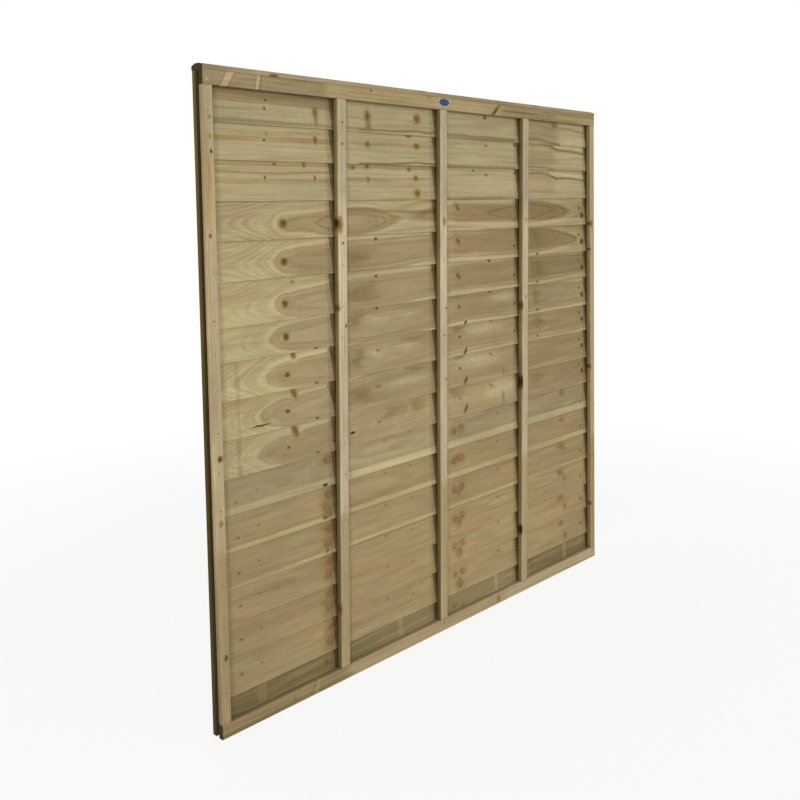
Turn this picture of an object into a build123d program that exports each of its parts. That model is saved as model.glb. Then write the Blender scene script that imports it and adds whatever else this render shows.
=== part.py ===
import os
from math import asin, atan2, cos, sin

from build123d import *

# Overlap fence panel, in millimetres. X runs along the panel with zero at mid length,
# the front looks towards -Y with zero at mid depth, and Z rises from the ground.

# Frame
panel_width = 1830
panel_height = 1830
timber_depth = 17
rail_height = 40
stile_width = 30
batten_width = 36
bays = 4
batten_lean = 30  # the head of each batten stands this much right of its foot
arris = 1.5  # rounding along the outer edges of every timber

# Capping strip
cap_thickness = 16
cap_overhang = 1.5
cap_bevel_width = 16
cap_bevel_drop = 6
cap_arris = 2.5
cap_ridge_round = 12

# Slats, counted from the top
slat_thickness = 5.5
slat_overlap = 25  # what the average slat hides of the one below
slat_past_stile_middle = 5  # wood beyond the end nails
slat_play = 0.1  # between a slat's edges and the timbers that clamp it
lap_gap = 0.1  # between two slats where the laps are closest
top_slat_open_height = 90
bottom_slat_foot = 11  # height of the lowest slat's edge, hidden by the bottom rail
cap_to_slat = 3
# How far each slat was nailed above or below its even place
slat_drift = (0, 7, 2, -1, -5, -16, -15, -15, -20, -21, -19, -20, -20, -18, -14, -14, 0)
# How much higher the right end of each slat was nailed than its left end
slat_rise = (6.5, 11.5, 16, 19, 22, 41, 22, 26, 22, 24, 22, 21, 19, 9, 9, 6, 6)

# Nails through the rails
nail_length = 40
nail_radius = 1.25
nail_point = 3
nail_head_radius = 3
nail_head_thickness = 1
nail_to_rail_edge = 14  # from the edge that faces the slats

# Tag on the top rail
tag_length = 57
tag_height = 28
tag_thickness = 1.2
tag_from_middle = 18
tag_below_cap = 2

# Heights
rail_top = panel_height - cap_thickness
head_z = rail_top - rail_height
foot_z = rail_height

# Places of the slats' lower edges at mid length, from even pitch and drift, and at the ends
slat_count = len(slat_drift)
top_lap_z = head_z - top_slat_open_height
slat_pitch = (top_lap_z - bottom_slat_foot) / (slat_count - 1)
slat_edge_z = [top_lap_z - slat_pitch * n + slat_drift[n] for n in range(slat_count)]
left_edge_z = [z - rise / 2 for z, rise in zip(slat_edge_z, slat_rise)]
right_edge_z = [z + rise / 2 for z, rise in zip(slat_edge_z, slat_rise)]
closest_lap = min(
    upper - lower
    for ends in (left_edge_z, right_edge_z)
    for upper, lower in zip(ends, ends[1:])
)

# Each slat leans back by one thickness over the closest lap, so that all of them fit
slat_width = slat_pitch + slat_overlap
slat_length = panel_width - stile_width + 2 * slat_past_stile_middle
slat_tilt = asin((slat_thickness + lap_gap) / closest_lap)
top_slat_width = (rail_top - cap_to_slat - slat_rise[0] / 2 - top_lap_z) / cos(slat_tilt)

# Depths: front timbers, the space that the leaning slats take, rear timbers
slat_space = slat_width * sin(slat_tilt) + slat_thickness * cos(slat_tilt) + 2 * slat_play
frame_depth = slat_space + 2 * timber_depth
front_face = Plane.XZ.offset(frame_depth / 2)
slat_front = Plane.XZ.offset(slat_space / 2)
rear_inner_face = Plane.XZ.offset(-slat_space / 2)
nail_grip = nail_length - timber_depth - slat_space

os.makedirs("parts", exist_ok=True)


def save(name, part):
    part.label = name
    export_step(part, f"parts/{name}.step")


def upright_x(number, z):
    # Centre line of an upright at height z. The first and the last are the plumb stiles.
    plumb_x = (number - bays / 2) * (panel_width - stile_width) / bays
    if number in (0, bays):
        return plumb_x
    foot_x = plumb_x - batten_lean / 2
    return foot_x + batten_lean * (z - foot_z) / (head_z - foot_z)


def upright_corners(number, width, low_z, high_z):
    foot_x = upright_x(number, low_z)
    head_x = upright_x(number, high_z)
    half = width / 2
    return (
        (foot_x - half, low_z),
        (foot_x + half, low_z),
        (head_x + half, high_z),
        (head_x - half, high_z),
    )


def rail_corners(half_length, low_z):
    high_z = low_z + rail_height
    return (
        (-half_length, low_z),
        (half_length, low_z),
        (half_length, high_z),
        (-half_length, high_z),
    )


def nail_places(z):
    # The rails are nailed at the stiles and at the middle upright
    return [(upright_x(number, z), z) for number in (0, bays // 2, bays)]


top_nails = nail_places(head_z + nail_to_rail_edge)
bottom_nails = nail_places(foot_z - nail_to_rail_edge)


def front_timber(name, corners, nails=()):
    # Sawn to its outline, rounded along the front, and bored where nails go through
    with BuildPart(front_face) as timber:
        with BuildSketch(front_face):
            with BuildLine():
                Polyline(*corners, close=True)
            make_face()
        extrude(amount=-timber_depth)
        front = timber.faces().sort_by(Axis.Y)[0]
        fillet(front.edges().sort_by(SortBy.LENGTH)[-2:], arris)
        for place in nails:
            with Locations(place):
                CounterBoreHole(nail_radius, nail_head_radius, nail_head_thickness)
    save(name, timber.part)


def rear_timber(name, corners, nails=()):
    # The same behind the slats, rounded along the back, with blind holes for the points
    with BuildPart(rear_inner_face) as timber:
        with BuildSketch(rear_inner_face):
            with BuildLine():
                Polyline(*corners, close=True)
            make_face()
        extrude(amount=-timber_depth)
        back = timber.faces().sort_by(Axis.Y)[-1]
        fillet(back.edges().sort_by(SortBy.LENGTH)[-2:], arris)
        for place in nails:
            with Locations(place):
                Hole(nail_radius, depth=nail_grip)
    save(name, timber.part)


# Front frame: rails over the full width, uprights butting between them
front_timber("front_top_rail", rail_corners(panel_width / 2, head_z), top_nails)
front_timber("front_bottom_rail", rail_corners(panel_width / 2, 0), bottom_nails)
front_timber("front_left_stile", upright_corners(0, stile_width, foot_z, head_z))
front_timber("front_right_stile", upright_corners(bays, stile_width, foot_z, head_z))
for number in range(1, bays):
    outline = upright_corners(number, batten_width, foot_z, head_z)
    front_timber(f"front_batten_{number}", outline)

# Rear frame: stiles over the full height, rails between them, battens between the rails
left_end_nails = (bottom_nails[0], top_nails[0])
right_end_nails = (bottom_nails[-1], top_nails[-1])
rear_timber("rear_left_stile", upright_corners(0, stile_width, 0, rail_top), left_end_nails)
rear_timber("rear_right_stile", upright_corners(bays, stile_width, 0, rail_top), right_end_nails)
rear_rail_half = panel_width / 2 - stile_width
rear_timber("rear_top_rail", rail_corners(rear_rail_half, head_z), top_nails[1:-1])
rear_timber("rear_bottom_rail", rail_corners(rear_rail_half, 0), bottom_nails[1:-1])
for number in range(1, bays):
    outline = upright_corners(number, batten_width, foot_z, head_z)
    rear_timber(f"rear_batten_{number}", outline)

# Capping strip, bevelled to both sides and lying on the rails and the rear stiles
cap_half = frame_depth / 2 + cap_overhang
with BuildPart() as top_cap:
    with BuildSketch(Plane.YZ.offset(-panel_width / 2)) as cap_section:
        with BuildLine():
            Polyline(
                (-cap_half, rail_top),
                (cap_half, rail_top),
                (cap_half, panel_height - cap_bevel_drop),
                (cap_half - cap_bevel_width, panel_height),
                (cap_bevel_width - cap_half, panel_height),
                (-cap_half, panel_height - cap_bevel_drop),
                close=True,
            )
        make_face()
        levels = cap_section.vertices().group_by(Axis.Y)
        fillet(levels[1], cap_arris)
        fillet(cap_section.vertices().group_by(Axis.Y)[-1], cap_ridge_round)
    extrude(amount=panel_width)
save("top_cap", top_cap.part)

# Slats: each hangs its lower front edge on the back of the front battens and leans its
# upper back edge on the rear ones. The top one is ripped to fit under the cap.
for number, (edge_z, rise) in enumerate(zip(slat_edge_z, slat_rise), start=1):
    slope = atan2(rise, slat_length)
    along_slat = (cos(slope), 0, sin(slope))
    off_slat = (-sin(slat_tilt) * sin(slope), -cos(slat_tilt), sin(slat_tilt) * cos(slope))
    lower_edge = (0, slat_play - slat_space / 2, edge_z)
    slat_plane = Plane(lower_edge, x_dir=along_slat, z_dir=off_slat)
    width = top_slat_width if number == 1 else slat_width
    with BuildPart() as slat:
        with BuildSketch(slat_plane):
            Rectangle(slat_length, width, align=(Align.CENTER, Align.MIN))
        extrude(amount=-slat_thickness)
        if number in (1, slat_count):
            with BuildSketch(slat_front):
                with Locations(*(top_nails if number == 1 else bottom_nails)):
                    Circle(nail_radius)
            extrude(amount=-slat_space, mode=Mode.SUBTRACT)
    save(f"slat_{number:02}", slat.part)

# Nails, heads flush with the front of the rails and points in the rear frame
with BuildPart() as nail:
    with BuildSketch(Plane.XZ):
        with BuildLine():
            Polyline(
                (0, 0),
                (nail_head_radius, 0),
                (nail_head_radius, -nail_head_thickness),
                (nail_radius, -nail_head_thickness),
                (nail_radius, nail_point - nail_length),
                (0, -nail_length),
                close=True,
            )
        make_face()
    revolve(axis=Axis.Z)
with BuildPart(front_face) as rail_nails:
    with Locations(*top_nails, *bottom_nails):
        add(nail.part)
save("rail_nails", rail_nails.part)

# Blank oval tag, stuck on the top rail under the edge of the cap
tag_z = rail_top - tag_below_cap - tag_height / 2
with BuildPart() as oval_tag:
    with BuildSketch(front_face):
        with Locations((tag_from_middle, tag_z)):
            Ellipse(tag_length / 2, tag_height / 2)
    extrude(amount=tag_thickness)
save("oval_tag", oval_tag.part)
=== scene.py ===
from math import pi

import bmesh
import bpy
from mathutils import Matrix, Vector


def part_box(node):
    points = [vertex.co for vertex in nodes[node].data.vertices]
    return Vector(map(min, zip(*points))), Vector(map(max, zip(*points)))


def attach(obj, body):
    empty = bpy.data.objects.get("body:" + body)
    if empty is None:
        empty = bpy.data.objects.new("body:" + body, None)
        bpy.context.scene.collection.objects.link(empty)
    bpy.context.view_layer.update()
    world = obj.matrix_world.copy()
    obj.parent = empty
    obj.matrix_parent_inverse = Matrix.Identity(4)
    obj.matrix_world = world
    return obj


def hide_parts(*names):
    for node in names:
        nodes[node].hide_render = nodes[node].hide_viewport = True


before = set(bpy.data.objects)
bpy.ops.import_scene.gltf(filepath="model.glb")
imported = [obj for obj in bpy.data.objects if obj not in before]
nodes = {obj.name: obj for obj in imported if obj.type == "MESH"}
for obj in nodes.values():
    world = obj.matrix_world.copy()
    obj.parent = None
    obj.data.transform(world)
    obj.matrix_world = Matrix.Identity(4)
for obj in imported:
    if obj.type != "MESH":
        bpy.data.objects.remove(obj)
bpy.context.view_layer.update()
scene = bpy.context.scene
print("frame loaded:", len(nodes), "timbers and fittings")


def paint(red, green, blue):
    # a colour as a picture editor gives it, made linear for the nodes
    def linear(part):
        part = part / 255
        return part / 12.92 if part <= 0.04045 else ((part + 0.055) / 1.055) ** 2.4
    return (linear(red), linear(green), linear(blue), 1)


class Wire:
    # one output socket; sums on it add Math nodes to its tree
    def __init__(self, tree, socket=None):
        self.tree, self.socket = tree, socket

    def node(self, kind, settings=None, values=None, out=0):
        made = self.tree.nodes.new(kind)
        for name, value in (settings or {}).items():
            setattr(made, name, value)
        for key, value in (values or {}).items():
            if isinstance(value, Wire):
                self.tree.links.new(value.socket, made.inputs[key])
            else:
                made.inputs[key].default_value = value
        return Wire(self.tree, made.outputs[out] if made.outputs else None)

    def math(self, operation, *terms):
        return self.node("ShaderNodeMath", {"operation": operation}, dict(enumerate(terms)))

    def vec(self, operation, *terms, out=0):
        return self.node("ShaderNodeVectorMath", {"operation": operation}, dict(enumerate(terms)), out)

    def __add__(self, other): return self.math("ADD", self, other)
    def __radd__(self, other): return self.math("ADD", other, self)
    def __sub__(self, other): return self.math("SUBTRACT", self, other)
    def __rsub__(self, other): return self.math("SUBTRACT", other, self)
    def __mul__(self, other): return self.math("MULTIPLY", self, other)
    def __rmul__(self, other): return self.math("MULTIPLY", other, self)
    def __truediv__(self, other): return self.math("DIVIDE", self, other)
    def __pow__(self, other): return self.math("POWER", self, other)

    def fade(self, low, high, start=0.0, end=1.0):
        # eases from start to end as the value goes from low to high
        return self.node("ShaderNodeMapRange", {"interpolation_type": "SMOOTHSTEP"},
                         {0: self, 1: low, 2: high, 3: start, 4: end})

    def ramp(self, low, high, start=0.0, end=1.0):
        # the same at an even rate
        return self.node("ShaderNodeMapRange", None, {0: self, 1: low, 2: high, 3: start, 4: end})

    def mix(self, first, second, amount):
        return self.node("ShaderNodeMix", {"data_type": "RGBA"}, {0: amount, 6: first, 7: second}, 2)

    def scaled(self, amount):
        return self.node("ShaderNodeVectorMath", {"operation": "SCALE"}, {0: self, 3: amount})

    def noise(self, steps, detail=2.0, rough=0.5, twist=0.0, out=0):
        # steps are how many mm a blotch is long, in each direction
        place = self.vec("DIVIDE", self, steps)
        return self.node("ShaderNodeTexNoise", {"noise_dimensions": "3D"},
                         {"Vector": place, "Scale": 1.0, "Detail": detail, "Roughness": rough,
                          "Distortion": twist}, out)

    def parts(self):
        split = self.node("ShaderNodeSeparateXYZ", None, {0: self})
        return [Wire(self.tree, socket) for socket in split.socket.node.outputs]

    def joined(self, x, y, z):
        return self.node("ShaderNodeCombineXYZ", None, {0: x, 1: y, 2: z})


def newMaterial(name):
    material = bpy.data.materials.new(name)
    material.use_nodes = True
    material.node_tree.nodes.clear()
    return material, Wire(material.node_tree)


def surface(wire, colour, roughness, height=None, depth=0.001, **fixed):
    # the shader and its output; fixed values go on the shader's own sockets
    values = {"Base Color": colour, "Roughness": roughness, **fixed}
    if height is not None:
        bump = {"Strength": 1.0, "Distance": depth, "Height": height}
        values["Normal"] = wire.node("ShaderNodeBump", None, bump)
    shader = wire.node("ShaderNodeBsdfPrincipled", None, values)
    wire.node("ShaderNodeOutputMaterial", None, {"Surface": shader})


# the frame, in mm, as the CAD has it; places along it are measured from its left end

frameShape = {
    "halfLength": 915,
    "firstUpright": 15,  # from the left end to the middle of the stile
    "bay": 450,
    "stileHalf": 15,
    "battenHalf": 18,
    "battenLean": 30,  # the head of a batten stands this far right of its foot
    "uprightFoot": 40,
    "uprightRise": 1734,
    "slatEnd": 10,  # from the panel's left end to the slats'
    "slats": 17,
}


def leanAt(up):
    # how far right of plumb the middle of a batten is at this height
    part = (up - frameShape["uprightFoot"]) / frameShape["uprightRise"]
    return frameShape["battenLean"] * (part - 0.5)


# camera, at the photograph's place

cameraSetup = {
    "place": (-2.2215, -2.0539, 1.4175),
    "right": (0.70808, -0.70594, -0.01676),
    "up": (0.06062, 0.03712, 0.99747),
    "back": (-0.70353, -0.7073, 0.06907),
    "lens": 40.38,
    "shiftY": -0.15,
}
lensData = bpy.data.cameras.new("camera")
lensData.lens = cameraSetup["lens"]
lensData.sensor_width = 36
lensData.shift_y = cameraSetup["shiftY"]
camera = bpy.data.objects.new("camera", lensData)
scene.collection.objects.link(camera)
columns = [cameraSetup[side] for side in ("right", "up", "back")]
turn = Matrix(columns).transposed()
camera.matrix_world = Matrix.Translation(cameraSetup["place"]) @ turn.to_4x4()
scene.camera = camera
print("camera placed")


# wood, the same for slats and timbers, with places in mm

woodLook = {
    "seed": 1,
    "sap": paint(177, 165, 123),
    "heart": paint(158, 140, 105),
    "line": paint(138, 112, 70),  # summer growth
    "early": paint(190, 178, 138),  # spring growth
    "pink": paint(168, 144, 106),
    "dark": paint(128, 110, 70),
    "green": paint(162, 157, 112),
    "ring": 10,  # between growth rings
    "pith": ((0, 44),),  # across the board, from point to point along it
    "depth": -30,  # of the pith behind the face
    "reach": ((0, 22),),  # how far into the heart the saw ran
    "soft": 7,
    "wander": 14,
    "lateDark": 0.4,
    "earlyLight": 0.25,
    "streak": 0.5,
    "streakWide": 17,
    "fibre": 0.18,
    "grain": 0.4,
    "broad": 0.42,
    "sawMarks": 0.07,
    "sawPitch": 5,
    "tint": 0.4,
    "shade": ((0, 1.0),),
    "contours": (),  # lines along a growth ring: mm outside the heart, half width, tone, strength
    "bands": (),  # low, high, tone, strength, from, to, slant in mm per metre
    "strokes": (),  # drawn from point to point: points, half width, tone, strength
    "patches": (),  # middle, width, tone, strength, lean
    # slats are given painted shade behind and beside these uprights
    "behind": (),  # uprights that a slat passes behind: middle, half width
    "half": 0,  # half width of a timber, past which its side faces begin
    # side faces take a darker tone, partly the wood's own colour and partly painted shade; sideShade scales
    # it along the timber as painted shade
    "side": paint(150, 130, 84),
    "sideShade": ((0, 1.0),),
    # the face against the slats, and the sides near it, get painted shade
    "inner": 0,  # which way the face against the slats looks
    "ends": None,  # first, last, dirt on the first, dirt on the last
    "knots": {},
    "bump": 0.0005,
    "specular": 0.12,
}
# painted shade for the gaps behind and beside uprights and in the frame's slot, also the dark stain of sawn
# ends
gapShadeAndEndStain = paint(52, 43, 19)


def knotLook(core, rim, halo, strength, spread, bulge, ragged=0.7, blotch=0.3, stain=False):
    # spread is how far the halo reaches, in knot sizes; bulge how far the grain is pushed aside, in
    # shares of the way from the knot's middle; ragged breaks up its outline and blotch its colour,
    # and a stain strays more
    return {
        "core": paint(*core), "rim": paint(*rim), "halo": paint(*halo), "strength": strength,
        "spread": spread, "bulge": bulge, "ragged": ragged, "blotch": blotch, "stain": stain}


knotLooks = {
    "round": knotLook((88, 60, 25), (112, 82, 42), (150, 126, 82), 0.95, 1.8, 0.8),
    "small": knotLook((90, 66, 28), (104, 78, 38), (146, 124, 80), 0.85, 2.0, 0.6),
    "smear": knotLook((108, 76, 35), (128, 98, 52), (150, 127, 83), 0.82, 2.1, 0.5),
    "smudge": knotLook((140, 110, 67), (108, 83, 45), (146, 120, 78), 0.72, 2.5, 0.4, 1.2, 0.85),
    "faint": knotLook((120, 94, 52), (132, 108, 66), (146, 126, 84), 0.6, 2.2, 0.5),
    "bark": knotLook((94, 66, 27), (104, 76, 38), (138, 112, 68), 0.88, 1.8, 0.6),
    "char": knotLook((44, 34, 18), (58, 44, 22), (112, 88, 48), 0.95, 2.0, 0.0),
    "rosy": knotLook((150, 104, 66), (142, 108, 70), (156, 128, 86), 0.65, 1.8, 0.5),
    "amber": knotLook((118, 82, 36), (146, 108, 54), (168, 136, 84), 0.9, 1.7, 0.0),
    "pale": knotLook((186, 173, 136), (180, 166, 128), (172, 156, 116), 0.45, 2.2, 0.0, stain=True),
    "dusk": knotLook((120, 102, 64), (126, 108, 68), (134, 116, 76), 0.42, 2.2, 0.0, stain=True),
}


def lineOf(along, points):
    # a value that runs straight from point to point along the board
    total = points[0][1]
    for (low, first), (high, last) in zip(points, points[1:]):
        total = total + along.ramp(low, high, 0.0, last - first)
    return total


def within(value, low, high, soft):
    # 1 between low and high, easing to 0 outside
    return value.fade(low - soft, low + soft) * value.fade(high + soft, high - soft)


def nearest(wire, place, spots, push=None, bulge=0.0):
    # distance to the nearest spot, in spot sizes, and how far the spots push the grain aside
    found = None
    for x, up, wide, high, *lean in spots:
        off = wire.vec("SUBTRACT", place, (x, up, 0))
        if lean:  # a knot that tilts to the right going up
            offAlong, offUp = off.parts()[:2]
            flat = wire.joined((offAlong - offUp * lean[0]) * (2 / wide), offUp * (2 / high), 0.0)
            far = wire.vec("LENGTH", flat, out=1)
        else:
            far = wire.vec("LENGTH", wire.vec("MULTIPLY", off, (2 / wide, 2 / high, 0)), out=1)
        found = far if found is None else wire.math("MINIMUM", found, far)
        if bulge:
            aside = off.scaled(far.fade(3.4, 0.8, 0.0, bulge))
            push = aside if push is None else wire.vec("ADD", push, aside)
    return found, push


def woodSkin(name, look, placeOf):
    look = {**woodLook, **look}
    material, wire = newMaterial(name)
    place = placeOf(wire)  # along, across, through the board, in mm
    seeded = wire.vec("ADD", place, (look["seed"] * 731.0, look["seed"] * 97.0, look["seed"] * 41.0))
    along, across, through = place.parts()

    # knots are found on a ragged place, stains on one that strays more, and knots bend the grain
    jitter = wire.vec("SUBTRACT", seeded.noise((11, 11, 11), 3.0, 0.6, out=1), (0.5, 0.5, 0.5))
    ragged = wire.vec("ADD", place, jitter.scaled(10.0))
    drift = wire.vec("SUBTRACT", seeded.noise((90, 22, 22), 3.0, 0.6, out=1), (0.5, 0.5, 0.5))
    drifted = wire.vec("MULTIPLY_ADD", drift, (160, 34, 0), place)
    found, push = {}, None
    rough = seeded.noise((12, 12, 12), 3.0, 0.65)
    for kind, spots in look["knots"].items():
        if spots:
            knot = knotLooks[kind]
            strayed = drifted if knot["stain"] else ragged
            far, push = nearest(wire, strayed, spots, push, knot["bulge"])
            found[kind] = far + (rough - 0.5) * knot["ragged"]
    bent = wire.vec("SUBTRACT", place, push) if push else place
    bentAlong, bentAcross = bent.parts()[:2]

    # growth rings round a leaning pith, of uneven width and depth of colour
    wander = seeded.noise((240, 44, 44), 3.0, 0.5, 0.4)
    sideways = bentAcross - lineOf(bentAlong, look["pith"])
    inward = through - look["depth"]
    radius = (sideways * sideways + inward * inward) ** 0.5 - lineOf(bentAlong, look["reach"])
    radius = radius + (wander - 0.5) * look["wander"]
    growth = wire.joined(radius, along, look["seed"] * 51.0).noise((16, 900, 7), 3.0, 0.6)
    rings = wire.math("FRACT", radius / look["ring"] + growth * 2.2)
    heart = radius.fade(look["soft"], -look["soft"])
    patchy = seeded.noise((140, 20, 20), 2.0).fade(0.3, 0.6, 0.4, 1.0)
    patchy = patchy * growth.fade(0.3, 0.62, 0.3, 1.0) * (1.0 - heart * 0.2)
    late = rings.fade(0.25, 0.8) * rings.fade(1.0, 0.88) * patchy
    early = growth.fade(0.52, 0.34)

    # ground colour: heart or sap, with long soft streaks
    wide = look["streakWide"]
    streak = seeded.noise((wide * 22, wide, wide), 3.0, 0.6, 0.3)
    cloud = seeded.noise((150, 38, 38), 2.0, 0.5, 0.6)
    colour = wire.mix(look["sap"], look["heart"], heart)
    colour = wire.mix(colour, look["green"], cloud.fade(0.48, 0.72) * look["tint"])
    colour = wire.mix(colour, look["pink"], streak.fade(0.5, 0.66) * look["streak"])
    colour = wire.mix(colour, look["dark"], streak.fade(0.44, 0.3) * look["streak"] * 0.6)
    for low, high, tone, strength, start, end, slant in look["bands"]:
        level = across - along * (slant / 1000) + (wander - 0.5) * 9.0
        band = within(level, low, high, 2.5) * within(along, start, end, 20)
        colour = wire.mix(colour, tone, band * strength * streak.fade(0.25, 0.6, 0.6, 1.0))
    for middle, width, tone, strength, lean in look["patches"]:
        level = along - across * lean + jitter.parts()[0] * 6.0
        patch = within(level, middle - width / 2, middle + width / 2, 2.0)
        colour = wire.mix(colour, tone, patch * strength)
    colour = wire.mix(colour, look["early"], early * look["earlyLight"] * (1.0 - heart * 0.5))
    colour = wire.mix(colour, look["pink"], growth.fade(0.55, 0.72) * 0.35)
    colour = wire.mix(colour, look["line"], late * look["lateDark"])
    for level, width, tone, strength in look["contours"]:
        off = wire.math("ABSOLUTE", radius - level)
        colour = wire.mix(colour, tone, off.fade(width, 0.0) * strength * streak.fade(0.3, 0.6, 0.5, 1.0))
    for points, width, tone, strength in look["strokes"]:
        off = wire.math("ABSOLUTE", across - lineOf(along, points) + (wander - 0.5) * 7.0)
        drawn = off.fade(width, width * 0.15) * within(along, points[0][0], points[-1][0], 12)
        colour = wire.mix(colour, tone, drawn * strength * streak.fade(0.3, 0.6, 0.6, 1.0))

    # sides of a timber, in a darker tone that is partly their own colour and partly painted shade; sideShade
    # sets that painted shade along the timber
    shade = lineOf(along, look["shade"])
    if look["half"]:
        flank = wire.math("ABSOLUTE", across).fade(look["half"] - 1.6, look["half"] - 0.5)
        tone = wire.joined(*look["side"][:3])
        tone = tone.scaled(lineOf(along, look["sideShade"]) * cloud.fade(0.25, 0.75, 1.15, 0.85))
        colour = wire.mix(colour, tone, flank * 0.96)
        shade = shade + (1.0 - shade) * flank

    for kind, far in found.items():
        knot = knotLooks[kind]
        broken = rough.fade(0.36, 0.6, 1.0 - knot["blotch"], 1.0)
        colour = wire.mix(colour, knot["halo"], far.fade(knot["spread"], 0.7) * 0.75 * knot["strength"])
        colour = wire.mix(colour, knot["rim"], far.fade(1.25, 0.75) * broken * knot["strength"])
        colour = wire.mix(colour, knot["core"], far.fade(0.8, 0.2) * broken * knot["strength"])

    # fibres, saw marks and broad shading
    fibre = seeded.noise((34, 0.9, 0.9), 3.0, 0.6)
    grain = seeded.noise((110, 4.5, 4.5), 3.0, 0.65)
    broad = seeded.noise((300, 60, 60), 3.0, 0.6)
    saw = seeded.noise((look["sawPitch"], 150, 80), 3.0, 0.6)
    shade = shade + (fibre - 0.5) * look["fibre"] + (grain - 0.5) * look["grain"]
    shade = shade + (broad - 0.5) * look["broad"] + (saw - 0.5) * (look["sawMarks"] * 2.0)
    colour = colour.scaled(shade)

    # painted shade behind and beside the uprights and in the slot of the frame, and a dark stain on sawn
    # ends;
    # the painted shade in the gap beside an upright is deeper, and so darker, towards the top of each slat
    for middle, half in look["behind"]:
        gap = wire.math("ABSOLUTE", along - middle + (cloud - 0.5) * 6.0) - half
        deep = across.ramp(0, 110, 6.0, 14.0)
        colour = wire.mix(colour, gapShadeAndEndStain, gap.fade(32, 20) * 0.2)
        colour = wire.mix(colour, gapShadeAndEndStain, (gap - deep).fade(5, -3) * 0.72)
        colour = wire.mix(colour, gapShadeAndEndStain, gap.fade(1.5, -2.0) * 0.85)
    if look["inner"]:
        # painted shade on the face against the slats and on the sides towards it
        slotWard = through * look["inner"]
        colour = wire.mix(colour, gapShadeAndEndStain, slotWard.fade(-5, 8.5) * 0.3)
        colour = wire.mix(colour, gapShadeAndEndStain, slotWard.fade(7.4, 8.4) * 0.9)
    if look["ends"]:
        first, last, darkFirst, darkLast = look["ends"]
        colour = wire.mix(colour, gapShadeAndEndStain, along.fade(first + 3, first + 0.5) * darkFirst)
        colour = wire.mix(colour, gapShadeAndEndStain, along.fade(last - 3, last - 0.5) * darkLast)
    height = fibre * 0.5 + late * 0.25 + saw * (0.2 + look["sawMarks"] * 2.5)
    roughness = 0.78 + (fibre - 0.5) * 0.16 + late * 0.06
    surface(wire, colour, roughness, height, look["bump"], **{"Specular IOR Level": look["specular"]})
    return material


# slats

slatShape = {
    "wander": 1.6,  # mm that a lower edge strays between two timbers
    "ragged": 0.5,
    "lift": 1.4,  # how far a lower edge springs forward in mid bay
    "rows": (150, 9),
    "arris": 0.5,
}


def groupWith(name, inputs):
    # a Geometry Nodes tree, a wire to add nodes to it, and its inputs by name
    tree = bpy.data.node_groups.new(name, "GeometryNodeTree")
    for label, kind in inputs:
        tree.interface.new_socket(label, in_out="INPUT", socket_type="NodeSocket" + kind)
    tree.interface.new_socket("Geometry", in_out="OUTPUT", socket_type="NodeSocketGeometry")
    start = Wire(tree).node("NodeGroupInput")
    given = {label: Wire(tree, start.socket.node.outputs[label]) for label, kind in inputs}
    return tree, Wire(tree), given


def endWith(wire, geometry, material):
    whole = wire.node("GeometryNodeRealizeInstances", None, {0: geometry})
    whole = wire.node("GeometryNodeSetMaterial", None, {"Geometry": whole, "Material": material})
    wire.node("NodeGroupOutput", None, {0: whole})


def grown(name, tree, values, startMesh=None):
    # runs a tree on a scratch object and returns the plain mesh object
    scratch = bpy.data.objects.new(name + "_scratch", startMesh or bpy.data.meshes.new(name + "_scratch"))
    scene.collection.objects.link(scratch)
    modifier = scratch.modifiers.new("nodes", "NODES")
    modifier.node_group = tree
    idOf = {item.name: item.identifier for item in tree.interface.items_tree if item.in_out == "INPUT"}
    for label, value in values.items():
        modifier[idOf[label]] = value
    ready = scratch.evaluated_get(bpy.context.evaluated_depsgraph_get())
    mesh = bpy.data.meshes.new_from_object(ready)
    bpy.data.objects.remove(scratch)
    piece = bpy.data.objects.new(name, mesh)
    scene.collection.objects.link(piece)
    return piece


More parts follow.
